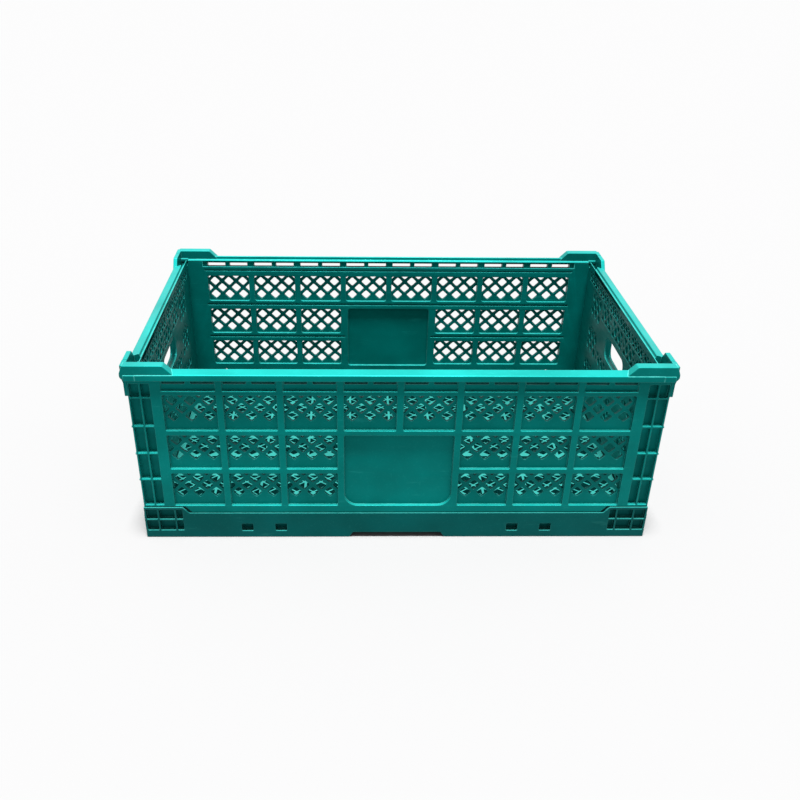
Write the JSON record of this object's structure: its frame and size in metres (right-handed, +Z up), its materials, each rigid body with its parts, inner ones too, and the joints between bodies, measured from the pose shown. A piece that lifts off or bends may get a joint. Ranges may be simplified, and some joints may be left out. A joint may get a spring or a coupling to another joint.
{
  "type": "collapsible storage crate",
  "caption": "Low vented plastic crate with mesh windows, plain label panels, hand holes in its end walls, corner stacking lugs and fold-down walls hinged to a ribbed tray.",
  "frame": {"origin": "centre of the footprint, on the surface the tray stands on", "axes": "+X along the long walls to the right end wall, +Y from the front long wall to the back one, +Z up"},
  "size_m": [0.6, 0.4, 0.22],
  "materials": {
    "tray_plastic": "satin moulded polypropylene",
    "wall_plastic": "satin moulded polypropylene",
    "rod_steel": "zinc plated wire"
  },
  "bodies": {
    "tray": {"base_tray": "tray_plastic", "front_hinge_rod": "rod_steel", "back_hinge_rod": "rod_steel", "left_hinge_rod": "rod_steel", "right_hinge_rod": "rod_steel"},
    "front_wall": {"front_long_wall": "wall_plastic"},
    "back_wall": {"back_long_wall": "wall_plastic"},
    "left_wall": {"left_end_wall": "wall_plastic"},
    "right_wall": {"right_end_wall": "wall_plastic"}
  },
  "joints": [
    {"name": "right_end_fold", "type": "hinge", "parent": "tray", "child": "right_wall", "pos_m": [0.289, 0, 0.018], "axis": [0, -1, 0], "range_deg": [0, 90]},
    {"name": "left_end_fold", "type": "hinge", "parent": "tray", "child": "left_wall", "pos_m": [-0.289, 0, 0.018], "axis": [0, 1, 0], "range_deg": [0, 90]},
    {"name": "front_wall_play", "type": "hinge", "parent": "tray", "child": "front_wall", "pos_m": [0, -0.1905, 0.037], "axis": [-1, 0, 0], "range_deg": [0, 0.3]},
    {"name": "back_wall_play", "type": "hinge", "parent": "tray", "child": "back_wall", "pos_m": [0, 0.1905, 0.037], "axis": [1, 0, 0], "range_deg": [0, 0.3]}
  ]
}
